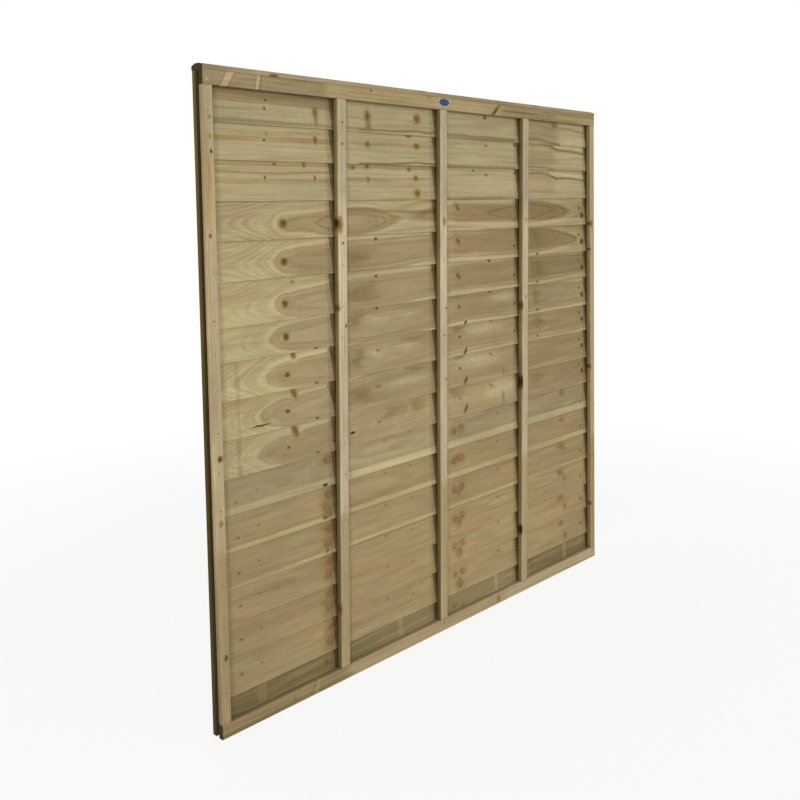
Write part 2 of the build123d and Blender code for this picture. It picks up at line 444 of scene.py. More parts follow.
def sawnSlatTree():
    tree, wire, given = groupWith("sawn slat", [
        ("Geometry", "Geometry"), ("Length", "Float"), ("Width", "Float"), ("Thickness", "Float"),
        ("Rows Along", "Int"), ("Rows Across", "Int"), ("Wander", "Float"), ("Ragged", "Float"),
        ("Lift", "Float"), ("First Timber", "Float"), ("Bay", "Float"), ("Seed", "Float"),
        ("Material", "Material")])
    width = given["Width"]
    size = wire.joined(given["Length"], width, given["Thickness"])
    board = wire.node("GeometryNodeMeshCube", None, {
        "Size": size, "Vertices X": given["Rows Along"], "Vertices Y": given["Rows Across"],
        "Vertices Z": 2})
    corner = wire.vec("MULTIPLY", size, (0.5, 0.5, -0.5))
    board = wire.node("GeometryNodeTransform", None, {"Geometry": board, "Translation": corner})
    here = wire.node("GeometryNodeInputPosition")
    board = wire.node("GeometryNodeStoreNamedAttribute", {"data_type": "FLOAT_VECTOR", "domain": "POINT"},
                      {"Geometry": board, "Name": "place", "Value": here})
    along, across, through = here.parts()
    seeded = wire.joined(along * 1000.0, given["Seed"] * 57.3, 0.0)
    low = 1.0 - across / width  # 1 at the lower edge
    stray = (seeded.noise((170, 1, 1), 2.0) - 0.5) * given["Wander"]
    chips = (seeded.noise((9, 1, 1), 3.0, 0.7) - 0.5) * given["Ragged"]
    mid = wire.math("SINE", (along - given["First Timber"]) / given["Bay"] * pi)
    mid = mid * mid  # 0 at each upright, 1 between them
    down = (stray * mid * low + chips * low.fade(0.95, 1.0)) * 2.0
    spring = seeded.noise((240, 1, 1), 1.0) * given["Lift"] * mid * low * low
    board = wire.node("GeometryNodeSetPosition", None, {
        "Geometry": board, "Offset": wire.joined(0.0, down, spring)})
    bend = wire.node("GeometryNodeInputMeshEdgeAngle")
    keen = wire.node("FunctionNodeCompare", {"data_type": "FLOAT", "operation": "GREATER_THAN"},
                     {0: bend, 1: 0.7})
    board = wire.node("GeometryNodeSetShadeSmooth", {"domain": "FACE"},
                      {"Geometry": board, "Shade Smooth": True})
    board = wire.node("GeometryNodeSetShadeSmooth", {"domain": "EDGE"},
                      {"Geometry": board, "Selection": keen, "Shade Smooth": False})
    endWith(wire, board, given["Material"])
    return tree


def cornerOf(node, x, y, z):
    # the corner of a CAD board that lies furthest that way
    return max((v.co for v in node.data.vertices), key=lambda co: x * co.x + y * co.y + z * co.z).copy()


def placeOnSlat(wire):
    # metres along, up and through the slat, from an attribute, as mm along the panel
    own = wire.node("ShaderNodeAttribute", {"attribute_name": "place"}, None, "Vector")
    return wire.vec("MULTIPLY_ADD", own, (1000.0, 1000.0, 1000.0), (frameShape["slatEnd"], 0.0, 0.0))


# knots that run on through the slats sawn from one log: first and last slat, x, height
# above the lower edge on the first and the last, width and height on the first and the last,
# and how far the knot tilts to the right going up
knotRuns = [
    ("round", 4, 7, 267, (44, 48), (28, 26), (21, 20)),
    ("small", 8, 10, 267, (44, 46), (20, 15), (13, 9)),
    ("round", 4, 10, 1770, (37, 52), (25, 25), (20, 18)),
    ("small", 4, 10, 1753, (66, 80), (14, 10), (12, 9)),
    ("smear", 4, 6, 1020, (78, 66), (22, 26), (24, 24), -0.4),
    ("smear", 7, 10, 1022, (64, 62), (15, 16), (11, 10)),
    ("small", 5, 8, 1330, (42, 50), (14, 10), (12, 9)),
    ("small", 6, 7, 1190, (108, 104), (15, 12), (13, 16), -0.5),
    ("faint", 8, 10, 1192, (100, 82), (14, 12), (18, 14), -1.4),
    ("bark", 7, 10, 1048, (6, 22), (12, 22), (14, 26), 0.6),
    ("small", 5, 7, 632, (96, 98), (13, 9), (13, 9)),
    ("faint", 8, 10, 630, (68, 54), (16, 10), (20, 10)),
    ("small", 7, 10, 374, (2, 9), (16, 6), (14, 7)),
    ("smear", 8, 10, 294, (98, 90), (18, 24), (24, 44), -0.3),
    ("smear", 8, 9, 438, (84, 66), (10, 34), (14, 66), -0.25),
    ("faint", 9, 10, 1258, (20, 28), (10, 20), (12, 38)),
    ("small", 5, 8, 1468, (6, 14), (14, 7), (13, 9)),
    ("faint", 11, 16, 80, (31, 51), (11, 7), (12, 8)),
    ("small", 12, 16, 84, (36, 50), (7, 5), (7, 5)),
    ("faint", 11, 16, 152, (51, 60), (10, 7), (11, 7)),
    ("faint", 11, 16, 654, (91, 84), (14, 8), (13, 9)),
    ("faint", 11, 16, 772, (97, 62), (13, 7), (13, 8)),
    ("faint", 11, 16, 1224, (77, 84), (15, 10), (14, 10)),
    ("faint", 11, 16, 1756, (32, 50), (20, 16), (24, 18)),
    ("dusk", 12, 16, 416, (56, 54), (60, 90), (50, 110)),
    ("smudge", 11, 16, 414, (80, 72), (36, 26), (34, 24)),
    ("smudge", 12, 16, 404, (36, 34), (30, 30), (32, 30)),
    ("smudge", 13, 16, 429, (44, 42), (14, 20), (20, 20)),
    ("smudge", 11, 16, 984, (56, 62), (30, 24), (26, 24)),
    ("smudge", 11, 16, 1021, (60, 66), (36, 32), (32, 26)),
    ("smudge", 12, 16, 1004, (62, 28), (26, 28), (34, 42)),
    ("rosy", 11, 13, 1630, (88, 82), (36, 30), (30, 26)),
    ("smudge", 13, 16, 1618, (84, 82), (34, 22), (34, 18)),
    ("faint", 13, 16, 1644, (70, 30), (20, 20), (26, 30)),
]
# knots and stains of one slat: x, height, width, height of the knot
slatKnots = {
    1: {
        "smear": [(393, 46, 18, 28), (602, 48, 24, 38), (822, 54, 30, 28), (1170, 82, 18, 14)],
        "small": [(217, 70, 9, 8), (212, 46, 8, 8), (828, 58, 12, 8)],
        "faint": [(395, 24, 12, 26), (604, 18, 22, 24)],
        "rosy": [(1590, 76, 44, 22)],
    },
    2: {
        "small": [(208, 59, 9, 8), (822, 66, 10, 8)],
        "faint": [(217, 76, 9, 8), (602, 64, 14, 12)],
        "smear": [
            (393, 66, 16, 24), (820, 64, 26, 18), (786, 96, 26, 10), (602, 62, 18, 16),
            (1175, 80, 14, 8), (1340, 88, 16, 14)],
    },
    3: {
        "smear": [
            (243, 104, 14, 10), (350, 104, 16, 14), (540, 100, 22, 12), (600, 104, 20, 14),
            (786, 99, 16, 14), (815, 70, 20, 18), (818, 20, 26, 26), (602, 66, 10, 16),
            (1175, 86, 14, 7), (1105, 100, 14, 7)],
        "small": [(208, 66, 6, 12), (388, 66, 8, 14)],
        "rosy": [(1345, 94, 24, 16)],
    },
    4: {"faint": [(1330, 34, 16, 12)]},
    5: {"dusk": [(550, 46, 110, 50), (1470, 66, 90, 60)]},
    6: {"dusk": [(570, 50, 170, 70), (1480, 60, 70, 60)], "faint": [(300, 108, 12, 10)]},
    7: {
        "pale": [(640, 62, 100, 18), (780, 64, 130, 14), (1270, 78, 150, 30)],
        "dusk": [(530, 70, 60, 50), (1010, 98, 80, 12), (1475, 66, 50, 60)],
        "faint": [(632, 98, 12, 14)],
    },
    8: {
        "pale": [(630, 58, 60, 22), (770, 62, 90, 18), (1160, 78, 220, 40)],
        "dusk": [(790, 88, 70, 14), (540, 50, 50, 60), (1010, 92, 60, 16), (1472, 66, 60, 50)],
    },
    9: {
        "pale": [(760, 60, 180, 30), (1110, 78, 260, 44)],
        "dusk": [(550, 44, 90, 40), (800, 94, 70, 14), (1015, 100, 60, 14)],
        "char": [(170, 22, 50, 4)],
    },
    10: {
        "char": [(446, 30, 24, 5), (515, 40, 20, 7)],
        "dusk": [
            (700, 74, 70, 40), (800, 76, 70, 44), (1010, 92, 70, 40), (1470, 70, 70, 30)],
        "pale": [(1260, 62, 260, 60)],
    },
    11: {"rosy": [(408, 82, 22, 18)], "char": [(398, 6, 18, 8)]},
    12: {"char": [(398, 12, 20, 9), (416, 16, 10, 8)]},
    13: {"char": [(402, 13, 9, 12)]},
    17: {"smudge": [(392, 62, 26, 16), (980, 46, 30, 18), (1020, 36, 24, 14)]},
}

palePatch = paint(184, 172, 126)
creamPatch = paint(194, 180, 140)
brownStripe = paint(148, 119, 78)
oliveStripe = paint(108, 92, 52)
duskStripe = paint(130, 108, 68)
rimLine = paint(126, 98, 54)
mossLine = paint(96, 112, 78)
eyeLine = paint(112, 92, 56)
slatLooks = {
    1: {
        "shade": ((0, 0.86), (450, 0.87), (500, 0.91), (1350, 0.9), (1590, 0.88), (1640, 1.04)),
        "bands": [
            (58, 96, paint(132, 110, 72), 0.85, 0, 460, 0),
            (4, 14, oliveStripe, 0.5, 0, 620, 0),
            (2, 16, oliveStripe, 0.75, 950, 1340, 0),
            (20, 96, brownStripe, 0.5, 1400, 1590, 0),
            (22, 78, palePatch, 0.6, 1625, 1800, -20),
        ],
        "strokes": [
            (((560, 6), (700, 8), (820, 14), (880, 10), (935, 22)), 6, oliveStripe, 0.85),
            (((1400, 14), (1450, 17), (1510, 15), (1560, 8), (1620, 3)), 8, oliveStripe, 0.65),
            (((1600, 84), (1660, 82), (1790, 72)), 9, creamPatch, 0.6),
            (((1590, 72), (1640, 68), (1700, 66), (1790, 54)), 8, oliveStripe, 0.45),
        ],
    },
    2: {
        "shade": ((0, 0.94), (480, 0.99), (950, 0.96)),
        "bands": [
            (52, 66, brownStripe, 0.85, 0, 480, 6),
            (58, 70, brownStripe, 0.45, 480, 900, 0),
            (94, 104, oliveStripe, 0.6, 560, 900, 10),
            (-2, 9, oliveStripe, 0.7, 950, 1340, 0),
            (20, 104, brownStripe, 0.45, 1400, 1580, 0),
            (20, 60, palePatch, 0.5, 1610, 1800, 0),
        ],
        "strokes": [
            (((560, 2), (700, 4), (820, 12), (900, 6), (935, 14)), 5, oliveStripe, 0.8),
            (((1400, 104), (1480, 102), (1540, 94), (1580, 82), (1610, 70)), 9, rimLine, 0.55),
            (((1590, 94), (1640, 90), (1700, 90), (1790, 82)), 9, creamPatch, 0.75),
            (((1565, 92), (1585, 84), (1610, 77), (1660, 75), (1720, 73), (1790, 66)), 7, oliveStripe, 0.75),
            (((1400, 8), (1450, 11), (1510, 9), (1580, 2)), 7, oliveStripe, 0.65),
        ],
    },
    3: {
        "bands": [
            (98, 112, brownStripe, 0.65, 0, 900, 0),
            (78, 83, oliveStripe, 0.5, 0, 480, 0),
            (48, 62, brownStripe, 0.6, 0, 480, 2),
            (60, 70, brownStripe, 0.5, 480, 860, 0),
            (20, 104, brownStripe, 0.45, 1400, 1580, 0),
            (20, 60, palePatch, 0.5, 1600, 1800, 0),
            (-2, 7, oliveStripe, 0.6, 950, 1340, 0),
        ],
        "strokes": [
            (((1400, 90), (1460, 96), (1510, 97), (1550, 90), (1580, 80), (1610, 70)), 8, rimLine, 0.6),
            (((1560, 98), (1600, 94), (1650, 92), (1700, 90), (1790, 84)), 11, creamPatch, 0.85),
            (((1560, 90), (1580, 82), (1605, 76), (1650, 78), (1700, 77), (1790, 70)), 7, oliveStripe, 0.8),
        ],
    },
    4: {
        "shade": ((0, 0.87), (300, 0.97), (950, 0.97), (1000, 1.0), (1350, 1.0), (1450, 0.94)),
        "reach": (
            (20, -22), (110, -12), (200, 6), (285, 30), (340, 34), (400, 40), (480, 46), (560, 48),
            (620, 42), (690, 30), (760, 26), (950, 32), (1180, 40), (1380, 47), (1560, 40),
            (1640, 31), (1800, 8),
        ),
        "pith": ((270, 44), (480, 42), (690, 46), (950, 62), (1830, 56)),
        "lateDark": 0.5,
        "bands": [(88, 120, palePatch, 0.5, 480, 1830, 0)],
        "strokes": [
            (((285, 50), (340, 60), (470, 64)), 6, rimLine, 0.35),
            (((285, 36), (340, 26), (390, 20)), 6, rimLine, 0.3),
            (((390, 43), (400, 51), (425, 59), (470, 66)), 6, rimLine, 0.6),
            (((390, 41), (402, 32), (428, 24), (470, 18)), 6, rimLine, 0.6),
            (((480, 68), (560, 67), (620, 60), (660, 52), (690, 43)), 6, rimLine, 0.4),
            (((480, 12), (540, 10), (600, 17), (650, 30), (690, 42)), 6, rimLine, 0.35),
            (((480, 80), (640, 76), (740, 70), (940, 64)), 10, paint(124, 102, 62), 0.7),
            (((1178, 57), (1200, 63), (1260, 73), (1340, 82), (1430, 87), (1500, 83), (1545, 75),
              (1580, 66)), 6, eyeLine, 0.55),
            (((1178, 56), (1200, 50), (1260, 41), (1340, 34), (1430, 32), (1490, 40), (1540, 52),
              (1580, 65)), 6, eyeLine, 0.5),
            (((1400, 96), (1500, 94), (1560, 86), (1610, 74), (1660, 62)), 8, eyeLine, 0.45),
            (((1470, 24), (1540, 30), (1610, 43), (1690, 60)), 7, eyeLine, 0.4),
        ],
    },
    5: {
        "shade": ((300, 1.0), (320, 0.94), (950, 0.98), (1000, 1.03), (1380, 1.03), (1440, 0.92)),
        "reach": (
            (20, -24), (105, -14), (175, 4), (245, 30), (275, 40), (325, 47), (480, 55), (600, 56),
            (950, 50), (1380, 52), (1560, 46), (1700, 31), (1830, 12),
        ),
        "strokes": [(((1400, 100), (1520, 94), (1600, 84), (1680, 68), (1740, 56)), 6, eyeLine, 0.35)],
    },
    6: {
        "shade": ((0, 1.05), (300, 1.0), (1380, 1.0), (1440, 0.92)),
        "strokes": [(((1290, 112), (1350, 116), (1430, 116), (1500, 112)), 4, mossLine, 0.6)],
    },
    7: {"strokes": [(((1400, 108), (1500, 104), (1640, 106)), 3.5, mossLine, 0.5)]},
    8: {
        "patches": [(95, 14, duskStripe, 0.28, 0)],
        "shade": ((0, 1.06), (450, 1.05), (500, 1.02), (1830, 1.0)),
    },
    9: {"patches": [(97, 12, duskStripe, 0.24, 0)], "shade": ((0, 0.97), (480, 1.0))},
    10: {
        "patches": [(97, 16, duskStripe, 0.4, 0)],
        "shade": ((0, 0.93), (450, 0.98), (500, 1.1), (950, 1.12), (1350, 1.12), (1420, 0.95)),
    },
    11: {
        "sawMarks": 0.1,
        "heart": paint(150, 136, 104),
        "tint": 0.55,
        "shade": ((0, 0.97), (450, 1.0), (500, 1.18), (950, 1.18), (1000, 1.0)),
        "bands": [(-5, 21, paint(173, 162, 119), 0.85, 0, 500, 4), (-5, 21, palePatch, 0.85, 460, 1830, 4)],
    },
    12: {
        "shade": ((0, 0.92), (480, 1.02)),
        "bands": [(-5, 13, palePatch, 0.8, 0, 1830, 3), (15, 24, brownStripe, 0.5, 0, 600, 0)],
    },
    13: {"shade": ((0, 0.88), (480, 1.02)), "bands": [(-5, 8, palePatch, 0.7, 0, 1830, 3)]},
    15: {"shade": ((0, 0.88), (480, 1.04), (950, 1.16), (1830, 1.1))},
    17: {
        "shade": ((0, 0.61), (480, 0.86), (980, 1.05), (1380, 1.05), (1420, 0.83)),
        "heart": paint(132, 117, 82),
        "green": paint(128, 120, 78),
        "tint": 0.9,
        "patches": [
            (150, 30, palePatch, 0.22, 0), (710, 22, palePatch, 0.3, 0),
            (1207, 18, palePatch, 0.3, 0), (1640, 20, palePatch, 0.4, 0),
        ],
    },
}
trioLook = {
    "pith": ((0, -60),), "depth": -50, "reach": ((0, 20),), "ring": 17, "wander": 24,
    "lateDark": 0.3, "earlyLight": 0.25, "streak": 0.5, "streakWide": 20,
    "green": paint(164, 160, 120), "sap": paint(173, 161, 123),
}
cathedralLook = {
    "lateDark": 0.32,
    "earlyLight": 0.38,
    "early": paint(192, 181, 146),
    "pith": ((480, 44), (700, 50), (1000, 60), (1830, 56)),
    "contours": [
        (1, 3.5, rimLine, 0.45), (8, 6, creamPatch, 0.4),
        (21, 3.5, rimLine, 0.25), (-11, 3.5, rimLine, 0.25)],
}
lowerLook = {
    "pith": ((0, 60),), "depth": -40, "reach": ((0, 90),), "ring": 15, "wander": 34,
    "lateDark": 0.28, "streak": 0.6, "streakWide": 20, "heart": paint(155, 136, 98),
    "shade": ((0, 0.93), (480, 1.04), (950, 1.12), (1830, 1.09)),
}
# where the arch of the heart begins on slats 4 to 10
archStarts = {4: 285, 5: 245, 6: 238, 7: 215, 8: 195, 9: 180, 10: 165}


def lookOfSlat(number):
    base = trioLook if number < 4 else cathedralLook if number < 11 else lowerLook
    look = {**base, "seed": 3 + number * 0.37}
    if base is cathedralLook:
        # further from the heart's tip on each slat down
        deep, start = number - 4, archStarts[number]
        look["reach"] = (
            (start - 230, -24), (start - 140, -14), (start - 70, 4), (start, 30), (start + 30, 40),
            (start + 80, 47), (480, 55), (600, 52 + 3 * deep), (950, 42 + 4 * deep),
            (1380, 44 + 4 * deep), (1830, 40 + 3 * deep))
        look["bands"] = [
            (-4, 34, palePatch, 0.45, 0, 230, 0),
            (58, 112, woodLook["pink"], 0.4, 0, 190, 40),
            (26, 132, duskStripe, max(0.1, 0.5 - deep * 0.09), 1000, 1830, 0),
            (26, 132, duskStripe, 0.25, 1400, 1830, 0),
        ]
    given = slatLooks.get(number, {})
    look = {**look, **given, "bands": [*look.get("bands", ()), *given.get("bands", ())]}
    middle = sum(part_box(f"slat_{number:02}"), Vector()).z * 500
    uprights = [frameShape["firstUpright"] + frameShape["bay"] * count for count in range(5)]
    look["behind"] = [(x, frameShape["stileHalf"]) for x in (uprights[0], uprights[4])]
    look["behind"] += [(x + leanAt(middle), frameShape["battenHalf"]) for x in uprights[1:4]]
    spots = {kind: list(found) for kind, found in slatKnots.get(number, {}).items()}
    for kind, first, last, x, heights, sizeFirst, sizeLast, *lean in knotRuns:
        if first <= number <= last:
            part = (number - first) / max(1, last - first)
            up = heights[0] + (heights[1] - heights[0]) * part
            wide, high = (a + (b - a) * part for a, b in zip(sizeFirst, sizeLast))
            spots.setdefault(kind, []).append((x, up, wide, high, *lean))
    look["knots"] = spots
    return look


slatTree = sawnSlatTree()
for number in range(1, frameShape["slats"] + 1):
    name = f"slat_{number:02}"
    node = nodes[name]
    origin = cornerOf(node, -1, -1, -1)
    alongEdge = cornerOf(node, 1, -1, -1) - origin
    acrossEdge = cornerOf(node, -1, -1, 1) - origin
    backEdge = cornerOf(node, -1, 1, -1) - origin
    piece = grown(name + "_sawn", slatTree, {
        "Length": alongEdge.length, "Width": acrossEdge.length, "Thickness": backEdge.length,
        "Rows Along": slatShape["rows"][0], "Rows Across": slatShape["rows"][1],
        "Wander": slatShape["wander"] / 1000, "Ragged": slatShape["ragged"] / 1000,
        "Lift": slatShape["lift"] / 1000, "Bay": frameShape["bay"] / 1000,
        "First Timber": (frameShape["firstUpright"] - frameShape["slatEnd"]) / 1000,
        "Seed": float(number),
        "Material": woodSkin(name + "_wood", lookOfSlat(number), placeOnSlat)})
    axes = Matrix((alongEdge.normalized(), acrossEdge.normalized(), -backEdge.normalized())).transposed()
    piece.data.transform(Matrix.Translation(origin) @ axes.to_4x4())
    arris = piece.modifiers.new("arris", "BEVEL")
    arris.width, arris.segments, arris.limit_method = slatShape["arris"] / 1000, 1, "ANGLE"
    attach(piece, "root")
    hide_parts(name)
print("slats sawn")


# timbers of the frame

def placeOnTimber(way, middle, slope=0.0):
    # way is x for rails and z for uprights; middle is the timber's centre in mm
    def placeOf(wire):
        own = wire.node("ShaderNodeTexCoord", None, None, "Object")
        x, y, z = own.scaled(1000.0).parts()
        if way == "x":
            return wire.joined(x + frameShape["halfLength"], z - middle[2], y - middle[1])
        return wire.joined(z, x - middle[0] - (z - middle[2]) * slope, y - middle[1])
    return placeOf


# the foot of each front upright is darker and warmer, from standing in wet grass
dampFoot = (-20, 20, paint(158, 132, 84), 0.65, -60, 520, 0)
tearLine = paint(104, 88, 54)
flushPink = paint(190, 162, 128)
uprightLook = {
    "sap": paint(181, 166, 132),
    "heart": paint(169, 147, 112),
    "line": paint(136, 113, 72),
    "pink": paint(182, 154, 120),
    "green": paint(168, 158, 120),
    "ring": 3.6,
    "pith": ((0, -16),),
    "depth": 22,
    "reach": ((0, 24),),
    "wander": 6,
    "lateDark": 0.45,
    "streak": 0.55,
    "streakWide": 9,
    "bands": [],
    "shade": ((150, 0.92), (700, 0.95), (1250, 1.0), (1430, 1.0), (1600, 0.92)),
}
railLook = {
    **uprightLook, "heart": paint(152, 134, 96), "sap": paint(170, 152, 114), "pink": paint(168, 144, 106),
    "ring": 6, "pith": ((0, -20),), "depth": 30, "shade": ((0, 1.0),),
}
backLook = {**uprightLook, "sap": paint(168, 152, 108), "heart": paint(148, 130, 86), "shade": ((0, 1.0),)}
battenLook = {
    **uprightLook, "sap": paint(192, 180, 152), "heart": paint(182, 164, 132), "line": paint(146, 124, 86),
    "pink": paint(190, 168, 138), "green": paint(176, 168, 136), "side": paint(148, 130, 83),
}
timberLooks = {
    "top_cap": ("x", {
        **railLook,
        "ring": 5,
        "shade": ((0, 0.84), (1830, 0.88)),
        "bands": [(-40, 40, paint(132, 112, 70), 0.5, 0, 60, 0), (-22, -14, tearLine, 0.4, 60, 900, 0)],
        "knots": {"rosy": [(825, 4, 50, 8), (1430, 3, 40, 8)], "small": [(232, -6, 26, 10)]},
    }),
    "front_top_rail": ("x", {
        **railLook,
        "sawMarks": 0.12,
        "bands": [
            (-25, 25, paint(130, 114, 84), 0.85, -20, 420, 0),
            (-25, 25, paint(160, 142, 98), 0.5, 420, 900, 0),
            (-25, 25, paint(142, 128, 88), 0.65, 1230, 1900, 0),
            (-5, 3, tearLine, 0.75, 1240, 1560, 0),
            (6, 12, tearLine, 0.65, 1480, 1830, 0),
            (-17, -12, tearLine, 0.5, 1300, 1700, 0),
        ],
        "patches": [
            (78, 22, flushPink, 0.85, 0.6), (92, 3, paint(96, 80, 52), 0.7, 0.6),
            (62, 3, paint(96, 80, 52), 0.5, 0.6), (178, 11, flushPink, 0.8, 0.2),
            (186, 4, paint(90, 74, 46), 0.75, 0.2), (170, 3, paint(104, 86, 56), 0.6, 0.2),
        ],
        "knots": {
            "bark": [(1202, -6, 20, 36, 0.9)],
            "small": [(600, 14, 10, 8)],
            "faint": [(1225, 14, 14, 12), (860, 16, 20, 6)],
        },
    }),
    "front_bottom_rail": ("x", {
        **railLook,
        "shade": ((460, 1.0), (1150, 1.0), (1250, 1.06)),
        "streak": 0.4,
        "bands": [
            (-25, 25, paint(134, 116, 80), 0.7, -20, 460, 0),
            (-25, -6, tearLine, 0.6, -20, 480, 0),
            (-25, 25, paint(180, 168, 136), 0.6, 1240, 1900, 0),
        ],
        "patches": [(338, 10, paint(184, 168, 128), 0.35, 0.3)],
        "knots": {"faint": [(250, -4, 12, 18), (326, 8, 10, 14), (1195, -2, 22, 24)]},
    }),
    "front_left_stile": ("z", {
        **uprightLook,
        "heart": paint(174, 149, 110),
        "side": paint(173, 152, 115),
        "sideShade": ((100, 0.74), (290, 0.9), (700, 1.36), (1250, 1.36), (1500, 1.0)),
        "bands": [
            (-16, 2, paint(178, 142, 84), 0.6, 1400, 1590, 0),
            (-20, -9, paint(140, 112, 74), 0.5, 820, 1800, 0),
        ],
        "knots": {
            "round": [(778, 4, 15, 17)],
            "small": [(225, 4, 14, 13), (1378, -4, 12, 9), (1600, 6, 10, 8)],
            "faint": [(600, 2, 14, 10), (1690, 4, 9, 8), (1640, 3, 12, 8)],
        },
    }),
    "front_right_stile": ("z", {
        **uprightLook,
        "shade": ((150, 0.98), (700, 1.0), (1600, 1.0)),
        "knots": {
            "amber": [(1380, -8, 26, 20)],
            "small": [(1382, -15, 15, 10), (1278, -15, 12, 9), (800, -15, 22, 10), (230, -14, 18, 14)],
        },
    }),
    "front_batten_1": ("z", {
        **battenLook,
        "shade": (
            (150, 0.94), (700, 0.95), (1000, 0.97), (1220, 1.15), (1400, 1.15), (1500, 0.86), (1760, 0.84)),
        "sideShade": ((290, 0.58), (900, 0.8), (1285, 0.74), (1620, 0.88)),
        "knots": {
            "amber": [(1400, -10, 52, 24)],
            "char": [(1404, -22, 30, 18)],
            "bark": [(1150, -20, 24, 14), (225, -20, 34, 12)],
            "small": [(1095, 12, 10, 9), (1640, 2, 7, 6), (1705, 3, 6, 6), (1345, 2, 7, 8)],
        },
    }),
    "front_batten_2": ("z", {
        **battenLook,
        "shade": (
            (150, 1.03), (500, 0.98), (800, 0.94), (1050, 0.96), (1200, 1.1), (1380, 1.1),
            (1470, 0.86), (1760, 0.84)),
        "sideShade": ((290, 0.55), (900, 0.9), (1250, 0.87), (1550, 0.57)),
        "bands": [(-4, 10, paint(196, 168, 116), 0.5, 1380, 1460, 0)],
        "knots": {
            "rosy": [(1405, 4, 26, 14)],
            "small": [(1110, 12, 8, 7), (1020, 4, 7, 6), (870, 10, 8, 6)],
        },
    }),
    "front_batten_3": ("z", {
        **battenLook,
        "shade": (
            (150, 1.08), (450, 1.08), (700, 0.98), (1050, 0.97), (1200, 1.08), (1380, 1.08),
            (1480, 0.83), (1760, 0.81)),
        "sideShade": ((300, 0.8), (900, 0.82), (1275, 0.84), (1550, 0.62)),
        "knots": {
            "char": [(800, -18, 44, 12), (240, -18, 32, 12)],
            "bark": [(1085, -18, 30, 12)],
            "rosy": [(1118, 6, 12, 10), (1405, 4, 14, 10)],
        },
    }),
    "rear_left_stile": ("z", {
        **backLook, "side": paint(116, 97, 38), "sideShade": ((200, 0.42), (900, 0.55), (1600, 0.93)),
    }),
    "rear_right_stile": ("z", backLook),
    "rear_top_rail": ("x", backLook),
    "rear_bottom_rail": ("x", backLook),
    "rear_batten_1": ("z", backLook),
    "rear_batten_2": ("z", backLook),
    "rear_batten_3": ("z", backLook),
}
for count, (name, (way, look)) in enumerate(timberLooks.items()):
    low, high = (corner * 1000 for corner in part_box(name))
    rail, batten, front = way == "x", "batten" in name, name.startswith("front")
    slope = frameShape["battenLean"] / frameShape["uprightRise"] if batten else 0.0
    half = 0 if rail else frameShape["battenHalf" if batten else "stileHalf"]
    inner = 1 if front else -1 if name.startswith("rear") else 0
    damp = [dampFoot] if front and not rail else []
    ends = (low.z, high.z, 0.6, 0.4)
    if rail:
        ends = (low.x + frameShape["halfLength"], high.x + frameShape["halfLength"], 0.92, 0.4)
    look = {
        "seed": 31 + count * 1.7, "half": half, "ends": ends, "inner": inner,
        **look, "bands": [*damp, *look["bands"]]}
    skin = woodSkin(name + "_wood", look, placeOnTimber(way, (low + high) / 2, slope))
    nodes[name].material_slots[0].material = skin
print("frame timbers finished")


# zinc coating on the nails

zincLook = {
    "bright": paint(206, 204, 194),
    "dull": paint(150, 146, 132),
    "rust": paint(96, 74, 46),
    "rustBelow": 300,  # height in mm
}
pinLook = {
    "bright": paint(132, 116, 84),
    "dull": paint(96, 80, 52),
    "rust": paint(84, 60, 34),
    "rustBelow": 900,
}


def zincSkin(name, look):
    material, wire = newMaterial(name)
    place = wire.node("ShaderNodeTexCoord", None, None, "Object").scaled(1000.0)
    grain = place.noise((0.8, 0.8, 0.8), 3.0)
    patch = place.noise((4, 4, 4), 2.0)
    colour = wire.mix(look["dull"], look["bright"], grain.fade(0.35, 0.65))
    damp = place.parts()[2].fade(look["rustBelow"] * 1.5, look["rustBelow"], 0.0, 0.3)
    colour = wire.mix(colour, look["rust"], (patch + damp).fade(0.5, 0.68) * 0.9)
    surface(wire, colour, 0.42 + patch * 0.25, grain, 0.0001, Metallic=0.35)
    return material


nodes["rail_nails"].material_slots[0].material = zincSkin("galvanised", zincLook)

# pins that hold the slats, along each upright

pinShape = {
    "headRadius": 2.0,
    "headHeight": 0.5,
    "aboveEdge": 30,  # of the slat that the pin goes through
    "stray": 4.0,
    "missing": 0.35,
    "seed": 5,
}


